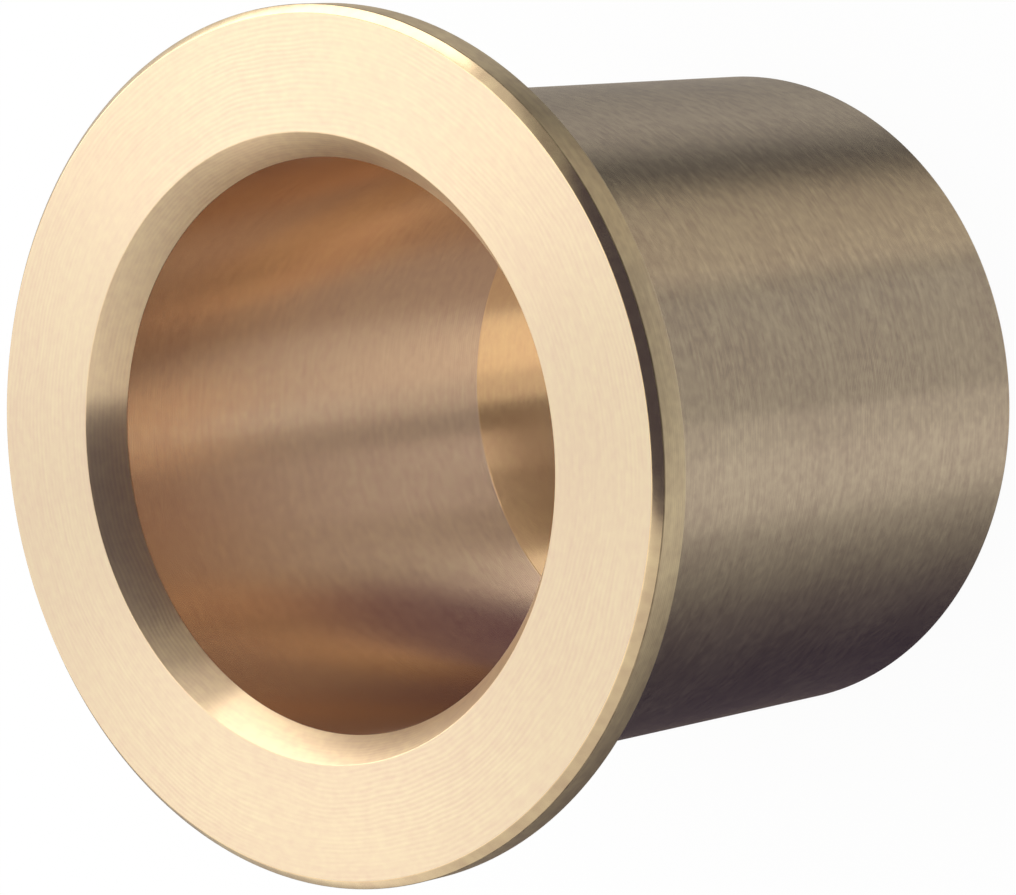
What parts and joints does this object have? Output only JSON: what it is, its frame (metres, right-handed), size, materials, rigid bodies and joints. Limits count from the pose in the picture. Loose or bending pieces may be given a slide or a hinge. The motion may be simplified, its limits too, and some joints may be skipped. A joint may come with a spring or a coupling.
{
  "type": "shifter bushing",
  "caption": "Flanged plain bushing turned from bronze: a thin-walled barrel with a flange, a through bore and a lead-in cone at its mouth.",
  "frame": {"origin": "centre of the plain end's face, on the bore's axis, where the bushing stands", "axes": "+Z along the bore's axis, from the plain end up to the flange; X and Y are any two directions across it, because the part is round"},
  "size_m": [0.0305, 0.0304, 0.025],
  "materials": {
    "bronze": "turned, satin, with a bright faced flange"
  },
  "bodies": {
    "root": {"bushing": "bronze"}
  },
  "joints": []
}
